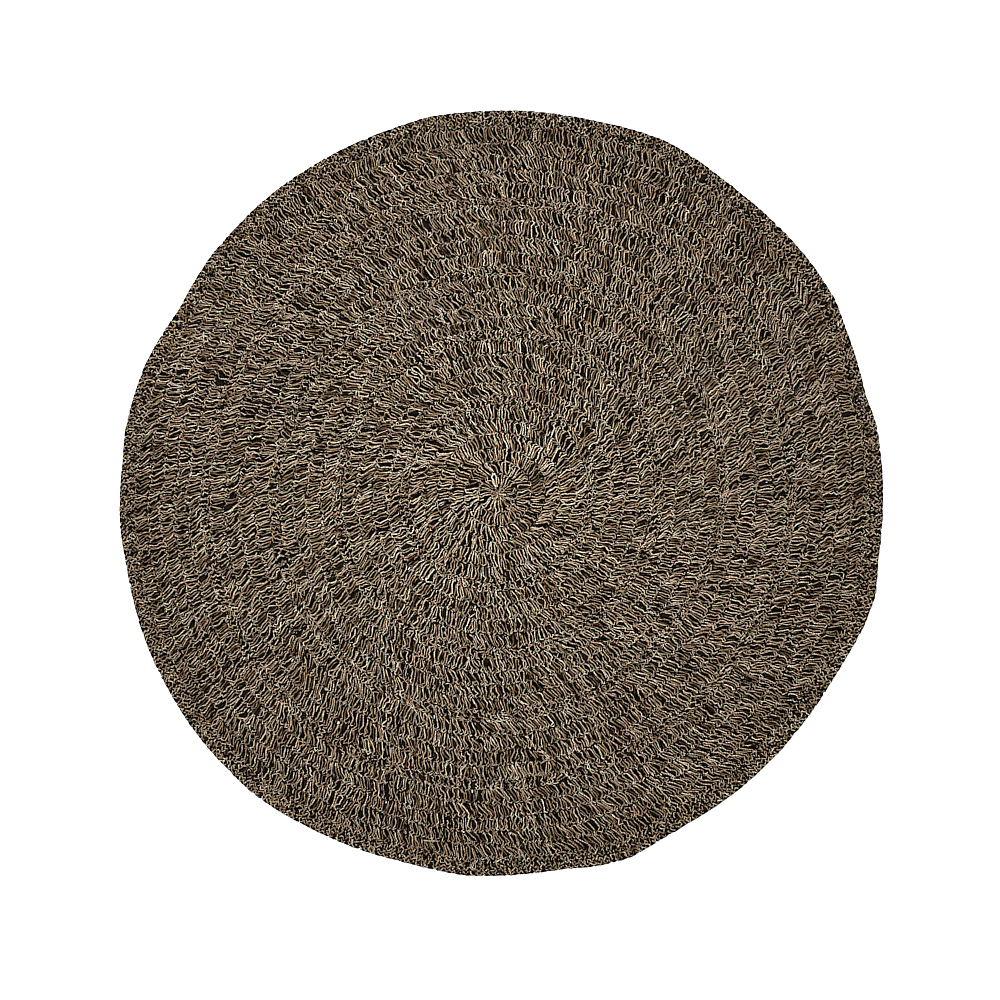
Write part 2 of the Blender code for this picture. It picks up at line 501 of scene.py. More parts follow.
@dataclass
class Gaps:
    """The openings between stitches: the solid's slits, and narrower ones like them.

    Attributes:
        plan: where the rounds lie.
        seed: seed of the narrow ones.
        narrow: how many narrow ones there are.
        half_lengths: least and greatest half length of a narrow one.
        half_widths: least and greatest half width of a narrow one.
        lean: how far they lean from the spokes, in degrees.
        sector_shares: how many of them each twelfth of the rug has, as parts.
        lean_spread: how much their lean differs, in degrees.
        area_shares: least and greatest share of the rug's area inside which one lies.
        apart: least distance between two.
        rim_clear: distance from the rim within which an upright wall isn't a slit's.
        upright: greatest rise of an upright wall's normal.
        slit_reach: distance within which walls belong to one slit.
    """

    plan: RugPlan
    seed: int = 11
    narrow: int = 460
    half_lengths: Pair = (0.0040, 0.0065)
    half_widths: Pair = (0.0010, 0.0016)
    lean: float = 20.0
    sector_shares: tuple[float, ...] = (1, 1, 2, 7, 4, 8, 24, 17, 15, 8, 2, 1)
    lean_spread: float = 8.0
    area_shares: Pair = (0.05, 0.80)
    apart: float = 0.02
    rim_clear: float = 0.03
    upright: float = 0.05
    slit_reach: float = 0.0195

    def slits(self) -> list[Gap]:
        """Read the solid's slits from their upright walls.

        Returns:
            The slits, as gaps.
        """
        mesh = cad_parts[RUG_NODE].data
        places = vertex_places(mesh)[:, :2]
        inside = self.plan.rim.min() - self.rim_clear
        walls = [
            list(face.vertices)
            for face in mesh.polygons
            if abs(face.normal.z) < self.upright and math.dist(face.center[:2], self.plan.middle) < inside
        ]
        left = np.array([places[wall].mean(0) for wall in walls])
        found: list[Gap] = []
        while len(left):
            close = np.hypot(*(left - left[0]).T) < self.slit_reach
            corners = np.concatenate([places[wall] for wall, own in zip(walls, close) if own])
            steps = np.unique(np.rint(corners * SLIT_STEPS), axis=0)
            found.append(self._slit(steps / SLIT_STEPS))
            walls = [wall for wall, own in zip(walls, close) if not own]
            left = left[~close]
        return found

    @staticmethod
    def _slit(corners: np.ndarray) -> Gap:
        """Fit a gap to the corners of a slit's walls.

        Args:
            corners: x and y of the corners.

        Returns:
            The gap, as long and as wide as the slit.
        """
        place = (corners.min(0) + corners.max(0)) / 2
        heading = np.linalg.svd(corners - corners.mean(0))[2][0]
        aside = np.array((-heading[1], heading[0]))
        along = (corners - place) @ heading
        across = (corners - place) @ aside
        return Gap(place, heading, float(np.ptp(along) / 2), float(np.ptp(across) / 2))

    def narrow_ones(self, taken: list[Gap]) -> list[Gap]:
        """Draw the narrow gaps, clear of those that are taken.

        Args:
            taken: gaps that are there already.

        Returns:
            The narrow gaps.
        """
        draw = np.random.default_rng(self.seed)
        shares = np.array(self.sector_shares) / sum(self.sector_shares)
        found: list[Gap] = []
        while len(found) < self.narrow:
            sector = draw.choice(len(shares), p=shares)
            turn = (sector + draw.uniform()) / len(shares) * math.tau
            radius = math.sqrt(draw.uniform(*self.area_shares)) * self.plan.radius
            place = self.plan.place(np.array(radius), np.array(turn), np.array(0.0))[:2]
            if min(math.dist(place, gap.place) for gap in taken + found) < self.apart:
                continue
            leaning = turn + math.radians(self.lean + draw.normal(0, self.lean_spread))
            heading = np.array((math.cos(leaning), math.sin(leaning)))
            half_length = draw.uniform(*self.half_lengths)
            found.append(Gap(place, heading, half_length, draw.uniform(*self.half_widths)))
        return found

    def all(self) -> list[Gap]:
        """List the solid's slits and the narrow gaps.

        Returns:
            All the gaps, slits first.
        """
        slits = self.slits()
        log.info("slits %d, narrow gaps %d", len(slits), self.narrow)
        return slits + self.narrow_ones(slits)


@dataclass
class Tension:
    """How the maker's hand varied, as smooth waves over the rug.

    Attributes:
        seed: seed of the waves.
        waves: how many waves are added up.
        shortest: shortest wave, in metres.
        longest: longest wave, in metres.
        steps: phase that each wave gains in a metre along x and along y.
        starts: phase of each wave at the frame's origin.
    """

    seed: int
    waves: int = 28
    shortest: float = 0.07
    longest: float = 0.40
    steps: np.ndarray = field(init=False)
    starts: np.ndarray = field(init=False)

    def __post_init__(self) -> None:
        """Draw the waves."""
        draw = np.random.default_rng(self.seed)
        length = np.exp(draw.uniform(math.log(self.shortest), math.log(self.longest), self.waves))
        heading = draw.uniform(0, math.tau, self.waves)
        self.steps = math.tau / length[:, None] * np.stack([np.cos(heading), np.sin(heading)], 1)
        self.starts = draw.uniform(0, math.tau, self.waves)

    def at(self, places: np.ndarray) -> np.ndarray:
        """Read the variation at places, with a spread of about one."""
        phase = places[..., :2] @ self.steps.T + self.starts
        return np.cos(phase).sum(-1) * math.sqrt(2 / self.waves)


@dataclass
class Tube:
    """Builds tubes of twine round many centre lines at once.

    Attributes:
        half_width: half the twine's width.
        half_depth: half its depth.
        sides: sides of its section.
        LEAST_STEP: keeps a length from being nought where two points meet.
        LEAST_SLANT: keeps a length from being nought where the line stands upright.
    """

    LEAST_STEP: ClassVar[float] = 1e-12
    LEAST_SLANT: ClassVar[float] = 1e-9

    half_width: float
    half_depth: float
    sides: int

    def rings(self, line: np.ndarray, swell: np.ndarray, closed: bool) -> np.ndarray:
        """Lay a ring of points round each point of a line.

        Args:
            line: points of one centre line.
            swell: factor on the twine's width at each point.
            closed: whether the line ends where it starts.

        Returns:
            The rings' points, one row for each point of the line, its top first.
        """
        if closed:
            heading = np.roll(line, -1, 0) - np.roll(line, 1, 0)
        else:
            heading = np.gradient(line, axis=0)
        heading /= np.linalg.norm(heading, axis=1, keepdims=True) + self.LEAST_STEP
        aside = np.cross(heading, (0.0, 0.0, 1.0))
        aside /= np.linalg.norm(aside, axis=1, keepdims=True) + self.LEAST_SLANT
        upward = np.cross(aside, heading)
        turn = math.tau / 4 + np.arange(self.sides) / self.sides * math.tau
        wide = np.cos(turn)[None, :, None] * aside[:, None, :] * self.half_width
        deep = np.sin(turn)[None, :, None] * upward[:, None, :] * self.half_depth
        return line[:, None, :] + (wide + deep) * swell[:, None, None]


@dataclass
class TwineMesh:
    """Gathers tubes and makes them one mesh.

    Attributes:
        name: name of the piece.
        points: points of each tube.
        quads: its faces along the twine.
        caps: its end faces.
        maps: places of its faces' corners along and round the twine.
        tones: tone and painted shade of its points.
        count: how many points there are.
    """

    name: str
    points: list[np.ndarray] = field(default_factory=list)
    quads: list[np.ndarray] = field(default_factory=list)
    caps: list[np.ndarray] = field(default_factory=list)
    maps: list[np.ndarray] = field(default_factory=list)
    tones: list[np.ndarray] = field(default_factory=list)
    count: int = 0

    def add(self, rings: np.ndarray, tone_and_shade: np.ndarray, closed: bool) -> None:
        """Add one tube.

        Args:
            rings: its rings of points.
            tone_and_shade: colour variation at each ring, with painted light and shade.
            closed: whether its last ring joins its first.
        """
        steps, sides = rings.shape[:2]
        middles = rings.mean(1)
        middles = np.vstack([middles, middles[:1]]) if closed else middles
        length = np.concatenate([[0.0], np.cumsum(np.linalg.norm(np.diff(middles, axis=0), axis=1))])
        index = self.count + np.arange(steps * sides).reshape(steps, sides)
        here = index if closed else index[:-1]
        ahead = np.roll(index, -1, 0) if closed else index[1:]
        quad = np.stack([here, np.roll(here, -1, 1), np.roll(ahead, -1, 1), ahead], -1)
        self.quads.append(quad.reshape(-1, 4))
        start = np.broadcast_to(length[: len(here), None], here.shape)
        end = np.broadcast_to(length[1 : len(here) + 1, None], here.shape)
        side = np.broadcast_to(np.arange(sides) / sides, here.shape)
        corners = [(start, side), (start, side + 1 / sides), (end, side + 1 / sides), (end, side)]
        self.maps.append(np.stack([np.stack(pair, -1) for pair in corners], 2).reshape(-1, 2))
        if not closed:
            self.caps.append(np.stack([index[0, ::-1], index[-1]]))
        self.points.append(rings.reshape(-1, 3))
        self.tones.append(np.repeat(tone_and_shade, sides))
        self.count += steps * sides

    def make(self) -> bpy.types.Object:
        """Make the gathered tubes one object.

        Returns:
            The piece.
        """
        quads = np.concatenate(self.quads)
        maps = np.concatenate(self.maps)
        faces = [quads]
        if self.caps:
            caps = np.concatenate(self.caps)
            faces.append(caps)
            maps = np.concatenate([maps, np.zeros((caps.size, 2))])
        corners = np.concatenate([face.reshape(-1) for face in faces])
        sizes = np.concatenate([np.full(len(face), face.shape[1]) for face in faces])
        mesh = bpy.data.meshes.new(self.name)
        mesh.vertices.add(self.count)
        mesh.vertices.foreach_set("co", np.concatenate(self.points).astype(np.float32).ravel())
        mesh.loops.add(len(corners))
        mesh.loops.foreach_set("vertex_index", corners.astype(np.int32))
        mesh.polygons.add(len(sizes))
        mesh.polygons.foreach_set("loop_start", (np.cumsum(sizes) - sizes).astype(np.int32))
        mesh.update(calc_edges=True)
        mesh.uv_layers.new(name="twine").uv.foreach_set("vector", maps.astype(np.float32).ravel())
        tone_and_shade = mesh.attributes.new("tone_and_shade", "FLOAT", "POINT")
        tone_and_shade.data.foreach_set("value", np.concatenate(self.tones).astype(np.float32))
        mesh.shade_smooth()
        return add_object(self.name, mesh)


@dataclass(frozen=True)
class StitchRow:
    """Stitches of one round.

    Attributes:
        ring: the round.
        feet: angle at which each stitch starts.
        tops: angle at which it ends.
        elbows: angle from its top to the feet of the next round.
        inner: plain radius of its foot.
        outer: plain radius of its top.
    """

    ring: CrochetRound
    feet: np.ndarray
    tops: np.ndarray
    elbows: np.ndarray
    inner: np.ndarray
    outer: np.ndarray


@dataclass
class CrochetWork:
    """The stitches of the rug, made of one endless tube for each twine and round.

    Attributes:
        plan: where the rounds lie.
        gaps: the openings that the twines keep clear of.
        seed: seed of the variation.
        lean_drift: how much the lean varies over the rug, in stitches.
        ripple: how far all twines sway together, in metres.
        spacing: how unevenly the stitches are spaced, in stitches.
        elbow_spread: how much the elbows differ from stitch to stitch, in stitches.
        elbow_drift: how much they change slowly round a round, in stitches.
        tightness: how much a stitch's height differs from the next, in metres.
        plain_middle: radius inside which the stitches are worked straight.
        waver: how far a twine wavers between its waypoints, in stitches.
        uneven: how far it wavers across the round, in metres.
        natural: tube of the natural twine.
        black: tube of the black twine.
        swaying_waves: number, shortest and longest of the waves that all twines sway in.
        hub_strands: strands that the starting ring is worked into.
        fan: share of its parent's width that the stitches worked into one stand on.
        doubling: least and greatest share of its stretch at which a stitch is doubled.
        start: how far a whole round is moved along, in stitches.
        reaches: stitches over which spacing, elbows and heights change.
        rise: how much a waypoint's height differs, as a share of the thickness.
        leg_rises: how much each leg's height differs, as shares of the thickness.
        end_clear: distance from the hub and from the rim that the twines keep.
        swelling: how much the twine's width differs, as a share.
        swellings: least and greatest factor on its width.
        highest: greatest height of a centre line, as a share of the thickness.
        calm_rim: distance from the rim over which the sway dies down.
        leg_tone: how much the tone differs from leg to leg.
        point_tone: how much it differs from waypoint to waypoint.
        tension: how the lean drifts over the rug.
        swaying: how the twines sway along x and along y.
    """

    plan: RugPlan
    gaps: list[Gap]
    seed: int = 7
    lean_drift: float = 0.10
    ripple: float = 0.0009
    spacing: float = 0.11
    elbow_spread: float = 0.16
    elbow_drift: float = 0.15
    tightness: float = 0.0025
    plain_middle: float = 0.16
    waver: float = 0.12
    uneven: float = 0.0016
    natural: Tube = field(default_factory=lambda: Tube(0.0019, 0.0020, 4))
    black: Tube = field(default_factory=lambda: Tube(0.0023, 0.0022, 3))
    swaying_waves: tuple[int, float, float] = (60, 0.020, 0.070)
    hub_strands: int = 4
    fan: float = 0.8
    doubling: Pair = (0.1, 0.9)
    start: float = 0.5
    reaches: tuple[float, float, float] = (1.0, 9.0, 1.2)
    rise: float = 0.03
    leg_rises: Pair = (0.03, 0.10)
    end_clear: float = 0.002
    swelling: float = 0.10
    swellings: Pair = (0.7, 1.3)
    highest: float = 0.84
    calm_rim: float = 0.03
    leg_tone: float = 0.7
    point_tone: float = 0.65
    tension: Tension = field(init=False)
    swaying: list[Tension] = field(init=False)

    def __post_init__(self) -> None:
        """Set up the variation over the rug."""
        self.tension = Tension(self.seed)
        self.swaying = [Tension(self.seed + more, *self.swaying_waves) for more in (1, 2)]

    @staticmethod
    def bundles(draw: np.random.Generator, count: int, reach: float) -> np.ndarray:
        """Draw a variation that changes slowly from stitch to stitch round a round.

        Args:
            draw: source of the numbers.
            count: stitches in the round.
            reach: stitches over which it changes.

        Returns:
            A number for each stitch, with a spread of one.
        """
        step = np.arange(count)
        step = np.minimum(step, count - step)
        weight = np.exp(-0.5 * (step / reach) ** 2)
        weight /= math.sqrt((weight**2).sum())
        noise = np.fft.rfft(draw.normal(0, 1, count))
        return np.fft.irfft(noise * np.fft.rfft(weight), count)

    def parents(self, draw: np.random.Generator, count: int, before: int) -> tuple[np.ndarray, np.ndarray]:
        """Choose the stitch of the round before that each stitch is worked into.

        Args:
            draw: source of the numbers.
            count: stitches in this round.
            before: stitches in the round before.

        Returns:
            Number of each stitch's parent, and the stitch's place in it from -0.5 to 0.5.
        """
        whole, extra = divmod(count, before)
        shares = np.full(before, whole)
        doubled = (np.arange(extra) + draw.uniform(*self.doubling, extra)) * before / max(extra, 1)
        np.add.at(shares, doubled.astype(int), 1)
        parent = np.repeat(np.arange(before), shares)
        place = np.arange(count) - np.repeat(np.cumsum(shares) - shares, shares)
        return parent, (place + 0.5) / shares[parent] - 0.5

    def rows(self) -> list[StitchRow]:
        """Stand each round's stitches on those of the round before.

        Returns:
            A row for each round.
        """
        rows: list[StitchRow] = []
        landing = np.arange(self.hub_strands) / self.hub_strands * math.tau
        inner = np.zeros(self.hub_strands)
        spacing_reach, elbow_reach, height_reach = self.reaches
        for ring in self.plan.rounds():
            draw = np.random.default_rng((self.seed, ring.number))
            gauge = GAUGES[ring.kind]
            count = ring.stitches
            step = math.tau / count
            easing = min(1.0, ring.outer / self.plain_middle)
            parent, place = self.parents(draw, count, len(landing))
            feet = landing[parent] + self.fan * place * math.tau / len(landing)
            spots = self.plan.place(np.full(count, ring.inner), feet, np.zeros(count))
            lean = (gauge.lean + self.lean_drift * self.tension.at(spots)) * easing
            even = np.arange(count) * step
            lean = lean + self.spacing * self.bundles(draw, count, spacing_reach)
            tops = even + (feet - even).mean() + lean * step
            elbows = self.elbow_spread * draw.normal(0, 1, count)
            elbows = elbows + self.elbow_drift * self.bundles(draw, count, elbow_reach)
            start = draw.uniform(-self.start, self.start)
            elbows = (gauge.elbow + start + elbows) * easing * step
            slack = gauge.slack * self.tightness * easing
            outer = ring.outer + slack * self.bundles(draw, count, height_reach)
            rows.append(StitchRow(ring, feet, tops, elbows, inner[parent], outer))
            landing = tops + elbows
            inner = outer
        return rows

    def tube(self, shade: Shade) -> Tube:
        """Tell which tube a twine is."""
        return self.natural if shade is Shade.NATURAL else self.black

    def twine_line(self, row: StitchRow, shade: Shade) -> tuple[np.ndarray, np.ndarray, np.ndarray]:
        """Work out a twine's centre line through one round.

        Args:
            row: stitches of the round.
            shade: which twine.

        Returns:
            The line's points, its swelling, and its tone with painted light and shade.
        """
        ring = row.ring
        draw = np.random.default_rng((self.seed, ring.number, len(shade.value)))
        lean, along, across, height, tone_and_shade, elbow = np.array(STITCH_WAYS[ring.kind, shade]).T
        count, steps = ring.stitches, len(lean)
        size = (count, steps)
        turn = row.feet[:, None] + (row.tops - row.feet)[:, None] * lean + row.elbows[:, None] * elbow
        turn = turn + math.tau / count * (along + draw.normal(0, self.waver, size))
        legs = (np.arange(steps) >= steps // 2).astype(int)
        height = height + draw.normal(0, self.rise, size)
        height = height + draw.normal(0, self.leg_rises, (count, 2))[:, legs]
        radius = row.inner[:, None] + across * (row.outer - row.inner)[:, None]
        radius = radius + draw.normal(0, self.uneven, size)
        radius = np.clip(radius, self.end_clear, self.plan.radius - self.end_clear)
        swell = 1 + draw.normal(0, self.swelling, (count, 1)) + draw.normal(0, self.swelling, size)
        swell = np.clip(swell, *self.swellings)
        lowest = self.tube(shade).half_depth * swell
        z = np.clip(height * self.plan.thickness, lowest, self.plan.thickness * self.highest)
        line = self.plan.place(radius, turn, z)
        calm = np.clip((self.plan.radius - radius) / self.calm_rim, 0, 1)
        calm = calm * np.clip(radius / self.plain_middle, 0, 1)
        sway = np.stack([tension.at(line) for tension in self.swaying], -1)
        line[..., :2] += self.ripple * calm[..., None] * sway
        for gap in self.gaps:
            line = gap.parted(line, legs)
        tone_and_shade = tone_and_shade + draw.normal(0, self.leg_tone, (count, 2))[:, legs]
        tone_and_shade = tone_and_shade + draw.normal(0, self.point_tone, size)
        return line.reshape(-1, 3), swell.reshape(-1), tone_and_shade.reshape(-1)

    def work(self, name: str, shade: Shade, rows: list[StitchRow]) -> bpy.types.Object:
        """Make the twine of some rounds one piece.

        Args:
            name: name of the piece.
            shade: which twine.
            rows: stitches of the rounds.

        Returns:
            The piece.
        """
        gathered = TwineMesh(name)
        for row in rows:
            line, swell, tone_and_shade = self.twine_line(row, shade)
            gathered.add(self.tube(shade).rings(line, swell, True), tone_and_shade, True)
        return gathered.make()


class LooseEnd(NamedTuple):
    """A short end of twine on top of the work.

    Attributes:
        radius: plain radius of its middle.
        turn: angle of its middle, in degrees.
        length: its length.
        heading: how far it turns from lying along the round, in degrees.
    """

    radius: float
    turn: float
    length: float
    heading: float


@dataclass
class LooseEnds:
    """Ends of natural twine that the maker left where a new length was joined in.

    Attributes:
        plan: where the rounds lie.
        ends: the ends.
        seed: seed of their bends.
        steps: points along an end.
        bend: how far they bend at each point, in metres.
        height: height that they lie at.
        droop: how far their tips hang down.
        tone_and_shade: middle and spread of their tone.
        tube: their tube.
    """

    plan: RugPlan
    ends: tuple[LooseEnd, ...] = (
        LooseEnd(0.924, 259.0, 0.038, 8.0),
        LooseEnd(0.972, 93.6, 0.030, -12.0),
        LooseEnd(0.895, 152.0, 0.026, 20.0),
        LooseEnd(0.965, 318.0, 0.024, -5.0),
    )
    seed: int = 5
    steps: int = 8
    bend: float = 0.0005
    height: float = 0.0092
    droop: float = 0.002
    tone_and_shade: Pair = (0.5, 0.3)
    tube: Tube = field(default_factory=lambda: Tube(0.0020, 0.0016, 6))

    def build(self) -> bpy.types.Object:
        """Make the ends one piece.

        Returns:
            The piece.
        """
        draw = np.random.default_rng(self.seed)
        gathered = TwineMesh("loose_ends")
        for end in self.ends:
            turn = math.radians(end.turn)
            along = math.radians(end.turn + QUARTER_TURN + end.heading)
            share = np.linspace(-0.5, 0.5, self.steps)
            middle = self.plan.place(np.array(end.radius), np.array(turn), np.array(self.height))
            line = middle + share[:, None] * end.length * np.array((math.cos(along), math.sin(along), 0.0))
            line[:, :2] += draw.normal(0, self.bend, (self.steps, 2)).cumsum(0)
            line[:, 2] -= self.droop * (2 * np.abs(share)) ** 3
            rings = self.tube.rings(line, np.ones(self.steps), False)
            gathered.add(rings, draw.normal(*self.tone_and_shade, self.steps), False)
        return gathered.make()


@dataclass
class Ground:
    """The heart of the cloth between upper and lower twines, with its openings: a dark sheet, partly matted
    grass and partly painted shade where the twines shade each other.

    Attributes:
        plan: where the rounds lie.
        gaps: its openings.
        low: height of its underside.
        high: height of its top.
        inset: how far it stays inside the rim.
        opening: share of a gap's length and width that loose fibres leave open.
        corners: corners of its outline.
        nearest: distance under which two corners are one.
    """

    plan: RugPlan
    gaps: list[Gap]
    low: float = 0.0032
    high: float = 0.0048
    inset: float = 0.0035
    opening: float = 0.59
    corners: int = 144
    nearest: float = 1e-6

    def build(self) -> bpy.types.Object:
        """Make the sheet as a closed mesh.

        Returns:
            The piece.
        """
        turn = np.arange(self.corners) / self.corners * math.tau
        reach = self.plan.reach(turn) - self.inset
        rim = self.plan.middle + reach[:, None] * np.stack([np.cos(turn), np.sin(turn)], 1)
        loops = [rim] + [gap.outline(self.opening) for gap in self.gaps]
        starts = np.cumsum([0] + [len(loop) for loop in loops])
        faces = [list(range(start, end)) for start, end in zip(starts, starts[1:])]
        corners = [Vector(corner) for corner in np.concatenate(loops)]
        flat, _, triangles, *_, owners = delaunay_2d_cdt(corners, [], faces, 1, self.nearest)
        triangles = [triangle for triangle, owner in zip(triangles, owners) if owner == [0]]
        count = len(flat)
        sides = [
            (one, other)
            for triangle in triangles
            for one, other in zip(triangle, (*triangle[1:], triangle[0]))
        ]
        known = set(sides)
        open_sides = [(one, other) for one, other in sides if (other, one) not in known]
        walls = [(one, one + count, other + count, other) for one, other in open_sides]
        upper = [tuple(triangle) for triangle in triangles]
        lower = [tuple(corner + count for corner in reversed(triangle)) for triangle in triangles]
        points = [(*corner, self.high) for corner in flat] + [(*corner, self.low) for corner in flat]
        mesh = bpy.data.meshes.new("ground")
        mesh.from_pydata(points, [], upper + lower + walls)
        mesh.update()
        return add_object("ground", mesh)


@dataclass
class NodeBoard:
    """Places and links the nodes of one tree."""

    tree: bpy.types.NodeTree

    def feed(self, node: bpy.types.Node, feeds: dict[str | int, Feed]) -> None:
        """Link sockets to a node's inputs, or set plain values on them.

        Args:
            node: the node.
            feeds: socket or plain value for some of its inputs.
        """
        for name, feed in feeds.items():
            if isinstance(feed, Socket):
                self.tree.links.new(feed, node.inputs[name])
            else:
                node.inputs[name].default_value = feed

    def put(self, kind: str, feeds: dict[str | int, Feed] | None = None, **options: object) -> bpy.types.Node:
        """Add a node, set its options and feed its inputs.

        Args:
            kind: the node's type.
            feeds: socket or plain value for some of its inputs.
            options: its own settings.

        Returns:
            The node.
        """
        node = self.tree.nodes.new(kind)
        for option, value in options.items():
            setattr(node, option, value)
        self.feed(node, feeds or {})
        return node

    def reckon(self, operation: str, *feeds: Feed) -> Socket:
        """Add a Math node and return what it puts out."""
        return self.put("ShaderNodeMath", dict(enumerate(feeds)), operation=operation).outputs[0]

    def times(self, one: Feed, other: Feed) -> Socket:
        """Multiply two values."""
        return self.reckon("MULTIPLY", one, other)

    def vector(self, operation: str, *feeds: Feed) -> Sockets:
        """Add a Vector Math node and return its outputs."""
        return self.put("ShaderNodeVectorMath", dict(enumerate(feeds)), operation=operation).outputs

    def noise(self, place: Feed, scale: Feed, detail: float) -> Sockets:
        """Add a Noise Texture node and return its outputs."""
        feeds = {"Vector": place, "Scale": scale, "Detail": detail}
        return self.put("ShaderNodeTexNoise", feeds).outputs

    def own_place(self) -> Socket:
        """Add the object's own coordinates and return them."""
        return self.put("ShaderNodeTexCoord").outputs["Object"]

    def group(self, name: str, feeds: dict[str, Feed] | None = None) -> Sockets:
        """Add one of the effect groups and return its outputs."""
        return self.put("ShaderNodeGroup", feeds, node_tree=bpy.data.node_groups[name]).outputs

    def bump(self, height: Feed, relief: float, strength: float) -> Socket:
        """Add a Bump node and return its normal."""
        feeds = {"Height": height, "Distance": relief, "Strength": strength}
        return self.put("ShaderNodeBump", feeds).outputs[0]

    def mixed(self, share: Feed, low: Feed, high: Feed, way: str = "MIX") -> Socket:
        """Mix two colours.

        Args:
            share: how much of the second there is.
            low: the first colour, as a socket or three numbers.
            high: the second colour.
            way: how they are mixed.

        Returns:
            The mixed colour.
        """
        ends = [(*end, 1.0) if isinstance(end, tuple) else end for end in (low, high)]
        # Of the node's sockets, the inputs 6 and 7 and the output 2 are the colours
        feeds = {0: share, 6: ends[0], 7: ends[1]}
        return self.put("ShaderNodeMix", feeds, data_type="RGBA", blend_type=way).outputs[2]

    def eased(self, value: Feed, span: Pair, results: Pair = (0.0, 1.0)) -> Socket:
        """Map a value smoothly from one range to another.

        Args:
            value: the value.
            span: lowest and highest value that changes anything.
            results: what these become.

        Returns:
            The mapped value.
        """
        feeds = dict(enumerate((value, *span, *results)))
        return self.put("ShaderNodeMapRange", feeds, interpolation_type="SMOOTHSTEP").outputs[0]


def new_material(name: str) -> tuple[bpy.types.Material, NodeBoard, bpy.types.Node]:
    """Make a plain material.

    Args:
        name: its name.

    Returns:
        The material, the board of its nodes, and its shader.
    """
    material = bpy.data.materials.new(name)
    material.use_nodes = True
    board = NodeBoard(material.node_tree)
    return material, board, board.tree.nodes["Principled BSDF"]


class EffectGroups:
    """Shader node groups that more than one finish uses.

    Attributes:
        PLY_POWER: power of the plies' wave, which makes their tops broader.
        FIBRES_ROUND: how often the fibres' noise changes round the twine.
        FIBRE_DETAIL: detail of that noise.
        FIBRE_HEIGHT: height of the fibres, as a share of the plies'.
        DETAILS: detail of the noise of patches and of stalks.
        PATCH_SPAN: values of that noise between which grass changes.
    """

    PLY_POWER: float = 0.6
    FIBRES_ROUND: float = 9.0
    FIBRE_DETAIL: float = 3.0
    FIBRE_HEIGHT: float = 0.3
    DETAILS: dict[str, float] = {"Patch": 3.0, "Stalk": 1.0}
    PATCH_SPAN: Pair = (0.3, 0.7)

    @staticmethod
    def _empty(
        name: str, takes: dict[str, float], gives: tuple[str, ...]
    ) -> tuple[NodeBoard, Sockets, bpy.types.Node]:
        """Make a group with value sockets.

        Args:
            name: name of the group.
            takes: its inputs and their usual values.
            gives: its outputs.

        Returns:
            The board, the sockets of what the group takes, and the node that gives its outputs.
        """
        group = bpy.data.node_groups.new(name, "ShaderNodeTree")
        for label, usual in takes.items():
            socket = group.interface.new_socket(label, in_out="INPUT", socket_type="NodeSocketFloat")
            socket.default_value = usual
        for label in gives:
            group.interface.new_socket(label, in_out="OUTPUT", socket_type="NodeSocketFloat")
        board = NodeBoard(group)
        return board, board.put("NodeGroupInput").outputs, board.put("NodeGroupOutput")

    @classmethod
    def twist(cls) -> None:
        """Make the group for a twine's twisted plies and its grass fibres, with the crest from its top to its
        underside that the painted shade on its flanks follows.
        """
        takes = {"Lay": 0.013, "Plies": 2.0, "Fibre Length": 0.012}
        board, source, target = cls._empty("twisted plies", takes, ("Ply", "Fibre", "Height", "Crest"))
        spot = board.put("ShaderNodeUVMap", uv_map="twine").outputs[0]
        parts = board.put("ShaderNodeSeparateXYZ", {0: spot}).outputs
        turns = board.reckon("DIVIDE", parts[0], source["Lay"])
        phase = board.times(board.reckon("ADD", turns, parts[1]), source["Plies"])
        wave = board.reckon("SINE", board.times(phase, math.pi))
        ply = board.reckon("POWER", board.reckon("ABSOLUTE", wave), cls.PLY_POWER)
        along = board.reckon("DIVIDE", parts[0], source["Fibre Length"])
        around = board.times(board.reckon("SUBTRACT", parts[1], turns), cls.FIBRES_ROUND)
        place = board.put("ShaderNodeCombineXYZ", {0: along, 1: around}).outputs[0]
        fibre = board.noise(place, 1.0, cls.FIBRE_DETAIL)[0]
        height = board.reckon("MULTIPLY_ADD", fibre, cls.FIBRE_HEIGHT, ply)
        # Crest is one on the twine's top and nought underneath; the finishes paint shade on its flanks with
        # it.
        aside = board.reckon("ABSOLUTE", board.reckon("SUBTRACT", parts[1], 0.5))
        crest = board.times(aside, 2.0)
        board.feed(target, {"Ply": ply, "Fibre": fibre, "Height": height, "Crest": crest})

    @classmethod
    def patches(cls) -> None:
        """Make the group for grass that differs from place to place and stalk to stalk."""
        takes = {"Patch Size": 0.10, "Stalk Size": 0.004}
        board, source, target = cls._empty("grass patches", takes, tuple(cls.DETAILS))
        place = board.own_place()
        for label, detail in cls.DETAILS.items():
            scale = board.reckon("DIVIDE", 1.0, source[f"{label} Size"])
            noise = board.noise(place, scale, detail)[0]
            board.feed(target, {label: board.eased(noise, cls.PATCH_SPAN)})

    @classmethod
    def painted_falloff(cls) -> None:
        """Make the group for the painted shade that darkens the grass from the rug's middle to its rim, where
        the light falls off.
        """
        takes = {"Middle X": 0.0, "Middle Y": 0.0, "Radius": 1.0, "Border": 0.10}
        board, source, target = cls._empty("painted light falloff to the rim", takes, ("Outward", "Border"))
        feeds = {0: source["Middle X"], 1: source["Middle Y"]}
        middle = board.put("ShaderNodeCombineXYZ", feeds).outputs[0]
        offset = board.vector("SUBTRACT", board.own_place(), middle)[0]
        flat = board.vector("MULTIPLY", offset, LEVEL)[0]
        reach = board.vector("LENGTH", flat)["Value"]
        share = board.reckon("DIVIDE", reach, source["Radius"])
        start = board.reckon("SUBTRACT", 1.0, source["Border"])
        border = board.reckon("DIVIDE", board.reckon("SUBTRACT", share, start), source["Border"])
        board.feed(target, {"Outward": share, "Border": border})


